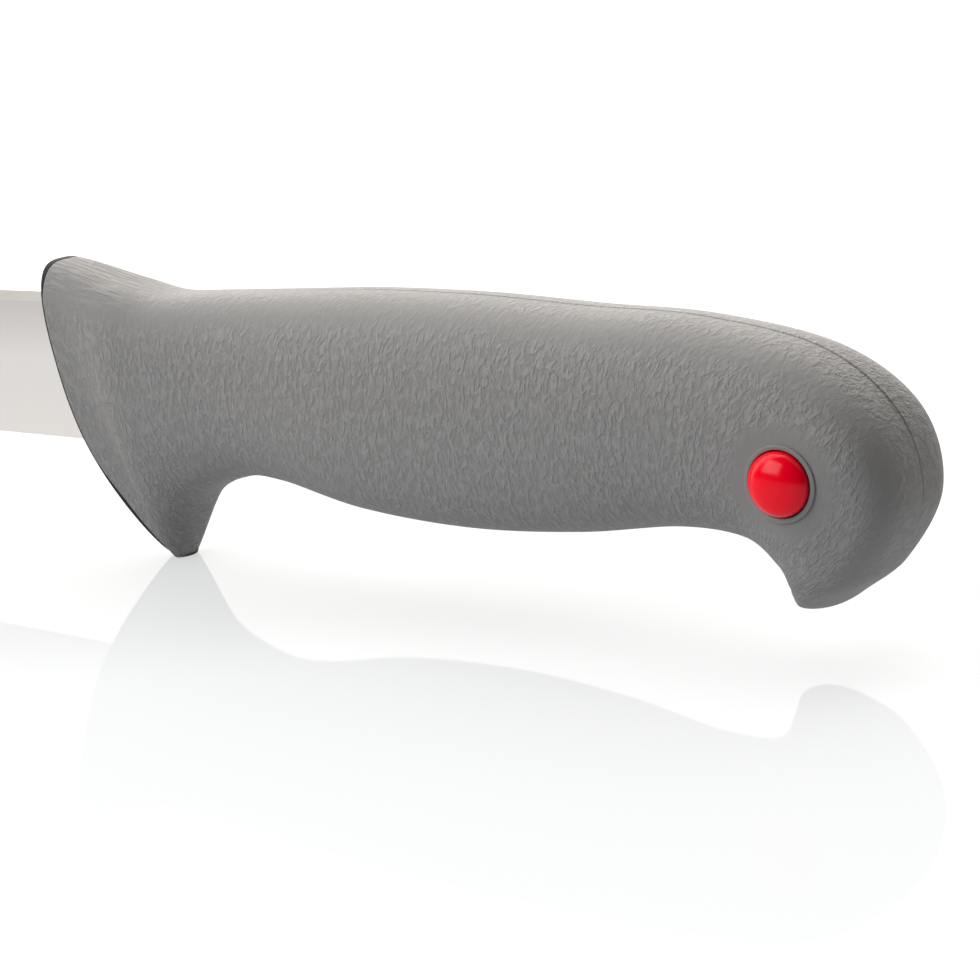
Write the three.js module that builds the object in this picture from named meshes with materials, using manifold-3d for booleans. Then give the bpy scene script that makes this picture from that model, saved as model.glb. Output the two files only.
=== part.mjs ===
// Fillet knife with a moulded grip and a colour-coding plug in each flank.
// Millimetres. +X runs from the point of the blade to the butt and +Z from the edge to the level spine. The
// origin is the middle of the grip, where a hand holds the knife. While it is built, x = 0 is the top edge
// of the guard's front and z = 0 the level of the guard's tip.
import * as THREE from 'three';
import { mergeVertices } from 'three/addons/utils/BufferGeometryUtils.js';
import Module from 'manifold-3d';

const wasm = await Module();
wasm.setup();

// Blade: lengths along the spine, heights from the spine down
const BLADE_LENGTH = 180;
const BLADE_HEIGHT = 21.8;
const BLADE_STOCK = 2;
const POINT_STOCK = 1;
const POINT_DROP = 4.5;
const EDGE_STOCK = 0.2;
const BEVEL_STOCK = 0.7;
const BEVEL_HEIGHT = 1.2;
const SPINE_CHAMFER = 0.25;
const FLAT_HEIGHT = 8;
const SPINE_BELOW_GUARD = 4.3;

// Tang: the narrower end of the blade inside the handle
const TANG_HEIGHT = 11.5;
const TANG_COVER = 1.9;
const TANG_HOLE = 6;
const TANG_HOLE_COUNT = 3;
const TANG_END_WALL = 11;
const SPINE_STEP_START = 4;
const SPINE_STEP_END = 12;
const HEEL_STEP_START = 13;
const HEEL_STEP_END = 21;

// Handle: heights above the tip of the guard, widths across the flanks
const HANDLE_LENGTH = 137;
const GUARD_HEIGHT = 42;
const GUARD_WIDTH = 17.5;
const GUARD_SWEEP = 15.3;
const NECK_HEIGHT = 25.6;
const NECK_WIDTH = 18.8;
const BELLY_HEIGHT = 30.8;
const BELLY_WIDTH = 25;
const WAIST_HEIGHT = 26.7;
const WAIST_WIDTH = 24;
const BACK_LEVEL = 39.1;
const BUTT_WIDTH = 22.8;
const HOOK_LEVEL = 3.1;
const HOOK_WIDTH = 10.4;
const HOOK_ROUND = 1.25;

// Skin of the grip, the core's front flange and the clearance between neighbours
const SKIN = 3;
const FLANGE = 0.5;
const FLANGE_INSET = 0.45;
const FLANGE_LIFT = 2;
const FIT = 0.3;

// Colour plugs and the collars round them
const PLUG_DIAMETER = 8.5;
const PLUG_DOME = 2.2;
const PLUG_RIM = 1.2;
const PLUG_STEM = 4.6;
const PLUG_STEM_LENGTH = 7;
const PLUG_RIB = 0.25;
const PLUG_RIB_COUNT = 4;
const PLUG_FROM_BUTT = 13.4;
const PLUG_LEVEL = 19.5;
const COLLAR_WALL = 0.7;
const COLLAR_PROUD = 0.1;

// Facets
const GRIP_STEPS = 56;
const GRIP_SIDES = 36;
const CORE_STEPS = 32;
const CORE_SIDES = 20;
const ROUND_SIDES = 32;
const BLADE_STEPS = 36;
const TANG_STEPS = 24;

// The handle is a loft on two rails: the back, from the top of the guard round the butt to the tip of the
// hook, and the belly, from the tip of the guard to the same tip. Each station names a point on both
// rails as a share of the handle's length and a level, the width across the flanks, how far up the section
// is widest, and how full its upper and lower halves are, 2 being round.
const WAIST_BACK = 0.955 * BACK_LEVEL;
const NECK_BELLY = 0.975 * BACK_LEVEL - NECK_HEIGHT;
const STATIONS = [
  {
    back: [-0.064, 1.014 * GUARD_HEIGHT], belly: [0.045, -0.036 * GUARD_HEIGHT],
    width: 0.84 * GUARD_WIDTH, widest: 0.62, upper: 3.2, lower: 1.8,
  },
  {
    back: [0.006, GUARD_HEIGHT], belly: [0.131, -0.013 * GUARD_HEIGHT],
    width: 0.91 * GUARD_WIDTH, widest: 0.62, upper: 3.2, lower: 1.8,
  },
  {
    back: [0.084, 0.951 * GUARD_HEIGHT], belly: [0.132, -0.019 * GUARD_HEIGHT],
    width: 1.02 * GUARD_WIDTH, widest: 0.6, upper: 2.4, lower: 1.9,
  },
  {
    back: [0.142, 0.978 * BACK_LEVEL], belly: [0.169, 0.2035 * GUARD_HEIGHT],
    width: 0.97 * NECK_WIDTH, widest: 0.58, upper: 2.4, lower: 2.4,
  },
  {
    back: [0.214, 0.976 * BACK_LEVEL], belly: [0.234, NECK_BELLY],
    width: NECK_WIDTH, widest: 0.56, upper: 2.4, lower: 2.4,
  },
  {
    back: [0.298, 0.991 * BACK_LEVEL], belly: [0.296, NECK_BELLY],
    width: 1.1 * NECK_WIDTH, widest: 0.52, upper: 2.4, lower: 2.4,
  },
  {
    back: [0.407, 1.005 * BACK_LEVEL], belly: [0.4, BACK_LEVEL - 0.957 * BELLY_HEIGHT],
    width: 0.944 * BELLY_WIDTH, widest: 0.5, upper: 2.4, lower: 2.4,
  },
  {
    back: [0.532, BACK_LEVEL], belly: [0.528, BACK_LEVEL - BELLY_HEIGHT],
    width: BELLY_WIDTH, widest: 0.5, upper: 2.4, lower: 2.4,
  },
  {
    back: [0.656, 0.974 * BACK_LEVEL], belly: [0.652, BACK_LEVEL - 0.979 * BELLY_HEIGHT],
    width: BELLY_WIDTH, widest: 0.5, upper: 2.4, lower: 2.4,
  },
  {
    back: [0.782, WAIST_BACK], belly: [0.761, WAIST_BACK - WAIST_HEIGHT],
    width: WAIST_WIDTH, widest: 0.5, upper: 2.4, lower: 2.3,
  },
  {
    back: [0.906, 0.873 * BACK_LEVEL], belly: [0.832, 0.934 * BACK_LEVEL - WAIST_HEIGHT],
    width: 0.97 * WAIST_WIDTH, widest: 0.5, upper: 2.7, lower: 2.2,
  },
  {
    back: [0.978, 0.683 * BACK_LEVEL], belly: [0.864, HOOK_LEVEL + 0.086 * BACK_LEVEL],
    width: BUTT_WIDTH, widest: 0.5, upper: 3.4, lower: 2.1,
  },
  {
    back: [0.999, 0.43 * BACK_LEVEL], belly: [0.871, HOOK_LEVEL + 0.02 * BACK_LEVEL],
    width: 0.89 * BUTT_WIDTH, widest: 0.5, upper: 3.4, lower: 2,
  },
  {
    back: [0.969, HOOK_LEVEL + 0.119 * BACK_LEVEL], belly: [0.873, HOOK_LEVEL + 0.016 * BACK_LEVEL],
    width: 1.7 * HOOK_WIDTH, widest: 0.5, upper: 2.6, lower: 2,
  },
  {
    back: [0.931, HOOK_LEVEL + 0.007 * BACK_LEVEL], belly: [0.868, HOOK_LEVEL - 0.023 * BACK_LEVEL],
    width: HOOK_WIDTH, widest: 0.5, upper: 2.1, lower: 2,
  },
];
const CORE_END_STATION = 11.7;
const BELLY_STATION = 7;
const rail = (pick) => new THREE.CatmullRomCurve3(STATIONS.map(pick), false, 'catmullrom', 0.5);
const back = rail((s) => new THREE.Vector3(s.back[0] * HANDLE_LENGTH, 0, s.back[1]));
const belly = rail((s) => new THREE.Vector3(s.belly[0] * HANDLE_LENGTH, 0, s.belly[1]));
const girth = rail((s) => new THREE.Vector3(s.width / 2, s.widest, 0));
const fullness = rail((s) => new THREE.Vector3(s.upper, s.lower, 0));

// One section of the handle at share t of the rails, drawn in by the given insets
function sectionRing(t, sides, { side = 0, top = 0, bottom = 0 }) {
  const upper = back.getPoint(t);
  const lower = belly.getPoint(t);
  const { x: halfWidth, y: widest } = girth.getPoint(t);
  const { x: upperPower, y: lowerPower } = fullness.getPoint(t);
  const axis = upper.clone().sub(lower).normalize();
  const middle = lower.clone().lerp(upper, widest);
  upper.addScaledVector(axis, -top);
  lower.addScaledVector(axis, bottom);
  return Array.from({ length: sides }, (_, i) => {
    const angle = (i / sides) * 2 * Math.PI;
    const across = Math.cos(angle);
    const up = Math.sin(angle);
    const power = up >= 0 ? upperPower : lowerPower;
    const point = middle.clone().lerp(up >= 0 ? upper : lower, Math.abs(up) ** (2 / power));
    point.y = Math.sign(across) * (halfWidth - side) * Math.abs(across) ** (2 / power);
    return point;
  });
}

// Half width of the handle beside a point of its middle plane
function flankAt(x, z) {
  const spot = new THREE.Vector3(x, 0, z);
  const near = new THREE.Vector3();
  let best = { gap: Infinity };
  for (let i = 0; i <= 500; i += 1) {
    const t = i / 500;
    const line = new THREE.Line3(belly.getPoint(t), back.getPoint(t));
    const level = line.closestPointToPointParameter(spot, true);
    const gap = line.at(level, near).distanceTo(spot);
    if (gap < best.gap) best = { gap, t, level };
  }
  const { x: halfWidth, y: widest } = girth.getPoint(best.t);
  const { x: upperPower, y: lowerPower } = fullness.getPoint(best.t);
  const power = best.level > widest ? upperPower : lowerPower;
  const reach = best.level > widest ? 1 - widest : widest;
  return halfWidth * (1 - (Math.abs(best.level - widest) / reach) ** power) ** (1 / power);
}

// Places that follow from the sizes
const SPINE_LEVEL = GUARD_HEIGHT - SPINE_BELOW_GUARD;
const PLUG_X = HANDLE_LENGTH - PLUG_FROM_BUTT;
const COLLAR_FACE = flankAt(PLUG_X, PLUG_LEVEL) + COLLAR_PROUD;
const STEM_ROOT = COLLAR_FACE - PLUG_RIM;
const SOCKET_FLOOR = STEM_ROOT - PLUG_STEM_LENGTH - FIT;
const SOCKET_RADIUS = PLUG_STEM / 2 + PLUG_RIB + FIT;
const TANG_END = PLUG_X - SOCKET_RADIUS - TANG_END_WALL;
const TANG_TOP = WAIST_BACK - SKIN - FIT - TANG_COVER;
const CORE_END = CORE_END_STATION / (STATIONS.length - 1);
const CAVITY_END = CORE_END + 2 * FIT / HANDLE_LENGTH;
const FAR = 2 * HANDLE_LENGTH;

// Rings of a handle loft, evenly spaced from the start of the rails to share end
function handleRings(steps, sides, inset, end = 1) {
  return Array.from({ length: steps + 1 }, (_, i) => sectionRing((i / steps) * end, sides, inset));
}

const DOME_RINGS = 3;
const DOME_START = THREE.MathUtils.degToRad(50);
// The last ring of the outer loft is closed by a low dome, the rounded tip of the hook
function hookDome(ring) {
  const centre = ring.reduce((sum, p) => sum.add(p), new THREE.Vector3()).divideScalar(ring.length);
  const axis = back.getPoint(1).sub(belly.getPoint(1)).normalize();
  const outward = new THREE.Vector3(axis.z, 0, -axis.x);
  const height = HOOK_ROUND / (1 - Math.sin(DOME_START));
  return Array.from({ length: DOME_RINGS }, (_, i) => {
    const angle = THREE.MathUtils.lerp(DOME_START, Math.PI / 2, (i + 1) / (DOME_RINGS + 1));
    const lift = outward.clone().multiplyScalar(height * (Math.sin(angle) - Math.sin(DOME_START)));
    const shrink = Math.cos(angle) / Math.cos(DOME_START);
    return ring.map((p) => p.clone().sub(centre).multiplyScalar(shrink).add(centre).add(lift));
  });
}

// A closed solid through rings with equal point counts, capped flat at both ends
function loft(rings) {
  const sides = rings[0].length;
  const points = rings.flat();
  const middles = [rings[0], rings[rings.length - 1]].map((ring) =>
    ring.reduce((sum, p) => sum.add(p), new THREE.Vector3()).divideScalar(sides));
  const first = points.length;
  points.push(...middles);
  const faces = [];
  for (let i = 0; i < sides; i += 1) {
    const next = (i + 1) % sides;
    for (let r = 0; r + 1 < rings.length; r += 1) {
      const a = r * sides + i;
      const b = r * sides + next;
      faces.push(a, b, b + sides, a, b + sides, a + sides);
    }
    const last = (rings.length - 1) * sides;
    faces.push(first, next, i, first + 1, last + i, last + next);
  }
  const geometry = new THREE.BufferGeometry().setFromPoints(points);
  geometry.setIndex(faces);
  return solid(geometry);
}

// A three.js geometry as a solid that can be joined and cut
function solid(geometry) {
  const bare = geometry.clone();
  bare.deleteAttribute('normal');
  bare.deleteAttribute('uv');
  const merged = mergeVertices(bare, 1e-4);
  return new wasm.Manifold(new wasm.Mesh({
    numProp: 3,
    vertProperties: new Float32Array(merged.attributes.position.array),
    triVerts: new Uint32Array(merged.index.array),
  }));
}

// A solid back as a named three.js mesh
function piece(name, made, material) {
  const { vertProperties, triVerts } = made.getMesh();
  const geometry = new THREE.BufferGeometry();
  geometry.setAttribute('position', new THREE.BufferAttribute(new Float32Array(vertProperties), 3));
  geometry.setIndex(new THREE.BufferAttribute(new Uint32Array(triVerts), 1));
  geometry.computeVertexNormals();
  const mesh = new THREE.Mesh(geometry, material);
  mesh.name = name;
  return mesh;
}

// A round solid on an axis along Y, from y = low to y = high
function roundBar(radius, low, high, x, z) {
  const geometry = new THREE.CylinderGeometry(radius, radius, high - low, ROUND_SIDES);
  geometry.translate(x, (low + high) / 2, z);
  return solid(geometry);
}

// Everything ahead of the guard's front, which is one curve swept across the knife, moved back by shift
function aheadOfGuard(shift) {
  const frontAt = (sweep, level) => new THREE.Vector2(sweep * GUARD_SWEEP + shift, level * GUARD_HEIGHT);
  const front = new THREE.Shape();
  front.moveTo(-FAR, -FAR);
  front.lineTo(frontAt(1.167, 0).x, -FAR);
  front.lineTo(frontAt(1.167, 0).x, frontAt(0, -0.1).y);
  front.splineThru([frontAt(1, 0.02), frontAt(0.486, 0.431), frontAt(0, 0.985), frontAt(-0.019, 1.11)]);
  front.lineTo(frontAt(-0.019, 0).x, FAR);
  front.lineTo(-FAR, FAR);
  const geometry = new THREE.ExtrudeGeometry(front, { depth: FAR, bevelEnabled: false, curveSegments: 24 });
  geometry.rotateX(Math.PI / 2);
  geometry.translate(0, FAR / 2, 0);
  return solid(geometry);
}

// Blade and tang are one blank, sectioned along X: the blade up to the guard's front, the tang behind it
const toPoint = (x) => THREE.MathUtils.clamp(-x / BLADE_LENGTH, 0, 1);
function blankTop(x) {
  const step = (SPINE_LEVEL - TANG_TOP) * THREE.MathUtils.smoothstep(x, SPINE_STEP_START, SPINE_STEP_END);
  return SPINE_LEVEL - POINT_DROP * toPoint(x) ** 2.2 - step;
}
function blankBottom(x) {
  const share = toPoint(x);
  const height = BLADE_HEIGHT * (1 - 0.16 * share) * (1 - share ** 5) ** 0.8;
  const heel = SPINE_LEVEL - BLADE_HEIGHT;
  const rise = TANG_TOP - TANG_HEIGHT - heel;
  const step = THREE.MathUtils.smoothstep(x, HEEL_STEP_START, HEEL_STEP_END);
  return share > 0 ? blankTop(x) - height : heel + rise * step;
}
function bladeRing(x) {
  const top = blankTop(x);
  const bottom = blankBottom(x);
  const height = top - bottom;
  const inTang = THREE.MathUtils.smoothstep(x, SPINE_STEP_END, HEEL_STEP_START);
  const distal = THREE.MathUtils.smoothstep(toPoint(x), 0.15, 1);
  const stock = THREE.MathUtils.lerp(BLADE_STOCK, POINT_STOCK, distal) / 2;
  const bevel = THREE.MathUtils.lerp(Math.min(BEVEL_STOCK / 2, stock), stock, inTang);
  const edge = THREE.MathUtils.lerp(EDGE_STOCK / 2, stock, inTang);
  const flat = Math.min(FLAT_HEIGHT, 0.4 * height);
  const bevelHeight = Math.min(BEVEL_HEIGHT, 0.25 * height);
  const chamfer = Math.min(SPINE_CHAMFER, 0.1 * height);
  const half = [
    [stock - chamfer, top],
    [stock, top - chamfer],
    [stock, top - flat],
    [bevel, bottom + bevelHeight],
    [edge, bottom],
  ];
  const near = half.map(([y, z]) => new THREE.Vector3(x, -y, z));
  const far = half.map(([y, z]) => new THREE.Vector3(x, y, z)).reverse();
  return [...near, ...far];
}
const POINT_END = 0.985;
function bladeStations() {
  const outside = Array.from({ length: BLADE_STEPS + 1 }, (_, i) =>
    -BLADE_LENGTH * POINT_END * Math.sin((1 - i / BLADE_STEPS) * Math.PI / 2));
  const step = TANG_END / TANG_STEPS;
  const inside = Array.from({ length: TANG_STEPS }, (_, i) => step * (i + 1));
  return [...outside, ...inside];
}
const holeShare = (i) => (i + 0.5) / TANG_HOLE_COUNT;
const tangHoles = Array.from({ length: TANG_HOLE_COUNT }, (_, i) => ({
  x: THREE.MathUtils.lerp(HEEL_STEP_END, TANG_END, holeShare(i)),
  z: TANG_TOP - TANG_HEIGHT / 2,
}));
function makeBlade() {
  const blank = loft(bladeStations().map(bladeRing));
  return tangHoles.reduce(
    (left, hole) => left.subtract(roundBar(TANG_HOLE / 2, -BLADE_STOCK, BLADE_STOCK, hole.x, hole.z)),
    blank,
  );
}

// The slot that the blank leaves in the core
function slotRing(x) {
  const wide = BLADE_STOCK / 2 + FIT;
  const top = blankTop(x) + FIT;
  const bottom = blankBottom(x) - FIT;
  const corners = [[-wide, top], [-wide, bottom], [wide, bottom], [wide, top]];
  return corners.map(([y, z]) => new THREE.Vector3(x, y, z));
}
function tangSlot() {
  const inside = bladeStations().filter((x) => x > -BLADE_HEIGHT);
  inside[inside.length - 1] += FIT;
  return loft(inside.map(slotRing));
}

// Core: fills the grip, carries the flange ahead of it, and keys through the tang's holes
function makeCore() {
  const inset = { side: SKIN + FIT, top: SKIN + FIT, bottom: SKIN + FIT };
  const body = loft(handleRings(CORE_STEPS, CORE_SIDES, inset, CORE_END));
  const rim = { side: FLANGE_INSET, top: 0, bottom: FLANGE_LIFT };
  const disc = loft(handleRings(GRIP_STEPS, GRIP_SIDES, rim)).intersect(aheadOfGuard(FLANGE));
  const keys = tangHoles.map((hole) => {
    const reach = BLADE_STOCK / 2 + 2 * FIT;
    return roundBar(TANG_HOLE / 2 - FIT, -reach, reach, hole.x, hole.z);
  });
  const sockets = [-1, 1].map((side) => {
    const ends = [side * SOCKET_FLOOR, side * FAR].sort((a, b) => a - b);
    return roundBar(SOCKET_RADIUS, ends[0], ends[1], PLUG_X, PLUG_LEVEL);
  });
  let core = body.add(disc).subtract(aheadOfGuard(0)).subtract(tangSlot());
  core = keys.reduce((left, key) => left.add(key), core);
  return sockets.reduce((left, socket) => left.subtract(socket), core);
}

// Grip: the moulded skin with its raised plug collars, open at the front where the core comes out
function makeGrip() {
  const rings = handleRings(GRIP_STEPS, GRIP_SIDES, {});
  const outside = loft([...rings, ...hookDome(rings[rings.length - 1])]);
  const inset = { side: SKIN, top: SKIN, bottom: SKIN };
  const cavity = loft(handleRings(CORE_STEPS, CORE_SIDES, inset, CAVITY_END));
  const seat = PLUG_DIAMETER / 2 + FIT;
  let grip = outside;
  for (const side of [-1, 1]) {
    const face = [side * (COLLAR_FACE - SKIN), side * COLLAR_FACE].sort((a, b) => a - b);
    grip = grip.add(roundBar(seat + COLLAR_WALL, face[0], face[1], PLUG_X, PLUG_LEVEL));
  }
  grip = grip.subtract(cavity).subtract(aheadOfGuard(FLANGE + FIT));
  for (const side of [-1, 1]) {
    const recess = [side * (STEM_ROOT - FIT), side * FAR].sort((a, b) => a - b);
    const bore = [side * SOCKET_FLOOR, side * FAR].sort((a, b) => a - b);
    grip = grip.subtract(roundBar(seat, recess[0], recess[1], PLUG_X, PLUG_LEVEL));
    grip = grip.subtract(roundBar(SOCKET_RADIUS, bore[0], bore[1], PLUG_X, PLUG_LEVEL));
  }
  return grip;
}

// Plug: a domed head on a stem with crush ribs, turned about Y with its dome towards +Y
function makePlug() {
  const dome = new THREE.EllipseCurve(0, COLLAR_FACE, PLUG_DIAMETER / 2, PLUG_DOME, 0, Math.PI / 2);
  const tip = STEM_ROOT - PLUG_STEM_LENGTH;
  const profile = [
    new THREE.Vector2(0, tip),
    new THREE.Vector2(0.36 * PLUG_STEM, tip),
    new THREE.Vector2(PLUG_STEM / 2, tip + 0.2 * PLUG_STEM),
    new THREE.Vector2(PLUG_STEM / 2, STEM_ROOT),
    new THREE.Vector2(PLUG_DIAMETER / 2, STEM_ROOT),
    ...dome.getPoints(8),
  ];
  profile[profile.length - 1].x = 0;
  const turned = solid(new THREE.LatheGeometry(profile, ROUND_SIDES));
  return Array.from({ length: PLUG_RIB_COUNT }, (_, i) => {
    const length = STEM_ROOT - tip - 0.2 * PLUG_STEM;
    const rib = new THREE.BoxGeometry(2 * PLUG_RIB + FIT, length, 2 * PLUG_RIB);
    rib.translate(PLUG_STEM / 2 - FIT / 2, STEM_ROOT - length / 2, 0);
    rib.rotateY((i / PLUG_RIB_COUNT) * 2 * Math.PI);
    return solid(rib);
  }).reduce((left, rib) => left.add(rib), turned);
}

// Finishes
const steel = new THREE.MeshStandardMaterial({ color: 0xd9d6d0, roughness: 0.32, metalness: 1 });
const darkPlastic = new THREE.MeshStandardMaterial({ color: 0x2b2b2c, roughness: 0.6, metalness: 0 });
const greyPlastic = new THREE.MeshStandardMaterial({ color: 0x858584, roughness: 0.65, metalness: 0 });
const redPlastic = new THREE.MeshStandardMaterial({ color: 0xd60a1c, roughness: 0.2, metalness: 0 });

// Assembly, with the origin in the middle of the belly, where the hand closes
const knife = new THREE.Group();
knife.add(piece('blade', makeBlade(), steel));
knife.add(piece('handle_core', makeCore(), darkPlastic));
knife.add(piece('handle_grip', makeGrip(), greyPlastic));
for (const [name, turn] of [['colour_plug_near', Math.PI], ['colour_plug_far', 0]]) {
  const plug = piece(name, makePlug(), redPlastic);
  plug.rotation.z = turn;
  plug.position.set(PLUG_X, 0, PLUG_LEVEL);
  knife.add(plug);
}
const hold = BELLY_STATION / (STATIONS.length - 1);
const gripMiddle = back.getPoint(hold).lerp(belly.getPoint(hold), 0.5);
knife.position.copy(gripMiddle).negate();
knife.updateMatrixWorld(true);

export default knife;
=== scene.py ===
# Looks of the fillet knife: a grained moulded grip on a dark core, a satin blade and two glossy plugs.
# Sizes are millimetres. While pieces are built, x = 0 is the top edge of the guard's front and z = 0 the
# level of the guard's tip.
import math

import bpy
import numpy as np
from mathutils import Matrix, Vector


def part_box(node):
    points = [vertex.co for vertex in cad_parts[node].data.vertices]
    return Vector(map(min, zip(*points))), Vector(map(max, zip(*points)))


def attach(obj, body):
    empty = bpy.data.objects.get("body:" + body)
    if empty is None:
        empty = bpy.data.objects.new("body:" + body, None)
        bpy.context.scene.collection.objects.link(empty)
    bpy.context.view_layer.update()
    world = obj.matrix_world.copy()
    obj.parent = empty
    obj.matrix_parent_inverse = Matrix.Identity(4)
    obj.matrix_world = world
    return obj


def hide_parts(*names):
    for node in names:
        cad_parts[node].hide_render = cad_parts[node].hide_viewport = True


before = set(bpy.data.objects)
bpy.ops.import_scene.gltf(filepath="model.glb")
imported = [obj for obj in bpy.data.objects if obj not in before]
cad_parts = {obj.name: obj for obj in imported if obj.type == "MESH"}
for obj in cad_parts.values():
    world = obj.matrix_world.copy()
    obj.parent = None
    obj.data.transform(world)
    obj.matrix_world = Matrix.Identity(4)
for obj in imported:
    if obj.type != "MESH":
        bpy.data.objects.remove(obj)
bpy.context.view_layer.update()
scene = bpy.context.scene
MM = 0.001

# Sizes shared with the solids
BLADE_LENGTH = 180
BLADE_HEIGHT = 21.8
BLADE_STOCK = 2
POINT_STOCK = 1
POINT_DROP = 4.5
POINT_END = 0.985
EDGE_STOCK = 0.2
BEVEL_STOCK = 0.7
SPINE_BELOW_GUARD = 4.3
TANG_HEIGHT = 11.5
TANG_COVER = 1.9
TANG_END_WALL = 11
SPINE_STEP = (4, 12)
HEEL_STEP = (13, 21)
HANDLE_LENGTH = 137
GUARD_HEIGHT = 42
GUARD_WIDTH = 17.5
GUARD_SWEEP = 15.3
NECK_HEIGHT = 25.6
NECK_WIDTH = 18.8
BELLY_HEIGHT = 30.8
BELLY_WIDTH = 25
WAIST_HEIGHT = 26.7
WAIST_WIDTH = 24
BACK_LEVEL = 39.1
BUTT_WIDTH = 22.8
HOOK_LEVEL = 3.1
HOOK_WIDTH = 10.4
DOME_START = math.radians(50)
SKIN = 3
FIT = 0.3
PLUG_DOME = 2.2
PLUG_RIM = 1.2
PLUG_STEM = 4.6
PLUG_STEM_LENGTH = 7
PLUG_RIB = 0.25
PLUG_RIB_COUNT = 4
PLUG_FROM_BUTT = 13.4
PLUG_LEVEL = 19.5
COLLAR_WALL = 0.7
CORE_END_STATION = 11.7

# Sizes of the finer forms
FLANGE_SHOWN = (0.09, 0.8)
FLANGE_INSET = 0.05
FLANGE_LIFT = 0.7
TIP_FLAT = -0.15
SEAM = 0.04
EDGE_ROUND = 0.22
HOOK_ROUND = 1
HOOK_ROUNDING = 14
PLUG_SHOWN = 8.2
PLUG_EDGE = 0.15
PLUG_TIP = 0.36 * PLUG_STEM
PLUG_CHAMFER = 0.2 * PLUG_STEM
RIB_TIP = 0.6 * PLUG_RIB
RIB_LEAD = 0.6
RIB_IN_HEAD = 0.1
PLUG_GAP = 0.12
COLLAR_ROUND = 0.22
COLLAR_CLEAR = 0.2
PARTING_DEPTH = 0.16
GRAIN_DEPTH = 0.11
SPINE_STRIP = (0.15, 1.35)
STRIP_LIMIT = 0.1
EDGE_BEVEL = 0.35

# Form of the blade: how its spine drops, its edge rises and its stock thins, and the curve of its grind
SPINE_DROP_POWER = 2.2
EDGE_RISE = 0.16
POINT_POWER = 5
POINT_FULLNESS = 0.8
STOCK_TAPER = (0.15, 1)
GRIND_POWER = 1.6

# Facets
GRIP_ROWS = 460
GRIP_QUARTER = 72
CORE_ROWS = 40
TURNED_SIDES = 96
RIB_SIDES = 16
DOME_STEPS = 26
COLLAR_STEPS = 7
SEAT_STEPS = 6
HOOK_STEPS = 12
RIM_ROWS = 4
CURVE_STEPS = 400
TABLE_STEPS = 281
FRONT_STEPS = 900
EVEN_STEPS = 600
MEAN_EVERY = 8
SMOOTH_ANGLE = 40
BLADE_SMOOTH_ANGLE = 4
BLADE_STEPS = 160
TANG_STEPS = 40
GRIND_STEPS = 16

# Levels along the belly and the hook
WAIST_BACK = 0.955 * BACK_LEVEL
WAIST_BELLY = WAIST_BACK - WAIST_HEIGHT
BUTT_BELLY = 0.934 * BACK_LEVEL - WAIST_HEIGHT
NECK_BELLY = 0.975 * BACK_LEVEL - NECK_HEIGHT
BELLY_FRONT = BACK_LEVEL - 0.957 * BELLY_HEIGHT
BELLY_LOW = BACK_LEVEL - BELLY_HEIGHT
BELLY_REAR = BACK_LEVEL - 0.979 * BELLY_HEIGHT
HOOK_BACK = HOOK_LEVEL + 0.108 * BACK_LEVEL
HOOK_END = HOOK_LEVEL + 0.008 * BACK_LEVEL
HOOK_TIP = HOOK_LEVEL - 0.041 * BACK_LEVEL

# Stations: share and level on the back, the same on the belly, width, widest level and two fullnesses
STATIONS = np.array([
    (-0.064, 1.024 * GUARD_HEIGHT, 0.045, -0.036 * GUARD_HEIGHT, 0.83 * GUARD_WIDTH, 0.62, 3.2, 1.8),
    (0.006, 1.01 * GUARD_HEIGHT, 0.132, -0.013 * GUARD_HEIGHT, 0.82 * GUARD_WIDTH, 0.62, 3.2, 1.8),
    (0.084, 0.943 * GUARD_HEIGHT, 0.133, -0.019 * GUARD_HEIGHT, 1.02 * GUARD_WIDTH, 0.6, 3.7, 1.9),
    (0.142, 0.976 * BACK_LEVEL, 0.168, 0.2035 * GUARD_HEIGHT, 0.97 * NECK_WIDTH, 0.58, 3.2, 2.5),
    (0.214, 0.984 * BACK_LEVEL, 0.234, NECK_BELLY, NECK_WIDTH, 0.56, 2.8, 2.6),
    (0.298, 0.996 * BACK_LEVEL, 0.296, NECK_BELLY, 1.1 * NECK_WIDTH, 0.52, 2.7, 2.6),
    (0.407, 1.01 * BACK_LEVEL, 0.4, BELLY_FRONT, 0.944 * BELLY_WIDTH, 0.5, 2.6, 2.6),
    (0.532, 1.005 * BACK_LEVEL, 0.528, BELLY_LOW, BELLY_WIDTH, 0.5, 2.6, 2.6),
    (0.656, 0.981 * BACK_LEVEL, 0.652, BELLY_REAR, BELLY_WIDTH, 0.5, 2.6, 2.5),
    (0.782, 1.007 * WAIST_BACK, 0.761, WAIST_BELLY, WAIST_WIDTH, 0.5, 2.5, 2.3),
    (0.906, 0.875 * BACK_LEVEL, 0.832, BUTT_BELLY, 0.97 * WAIST_WIDTH, 0.5, 2.7, 2.2),
    (0.978, 0.683 * BACK_LEVEL, 0.864, HOOK_LEVEL + 0.086 * BACK_LEVEL, BUTT_WIDTH, 0.5, 3.4, 2.1),
    (0.999, 0.423 * BACK_LEVEL, 0.871, HOOK_LEVEL + 0.02 * BACK_LEVEL, 0.89 * BUTT_WIDTH, 0.5, 3.4, 2),
    (0.9665, HOOK_BACK, 0.873, HOOK_LEVEL + 0.016 * BACK_LEVEL, 1.7 * HOOK_WIDTH, 0.5, 2.6, 2),
    (0.931, HOOK_END, 0.873, HOOK_TIP, HOOK_WIDTH, 0.5, 2.1, 2),
])
SPAN = len(STATIONS) - 1

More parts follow.
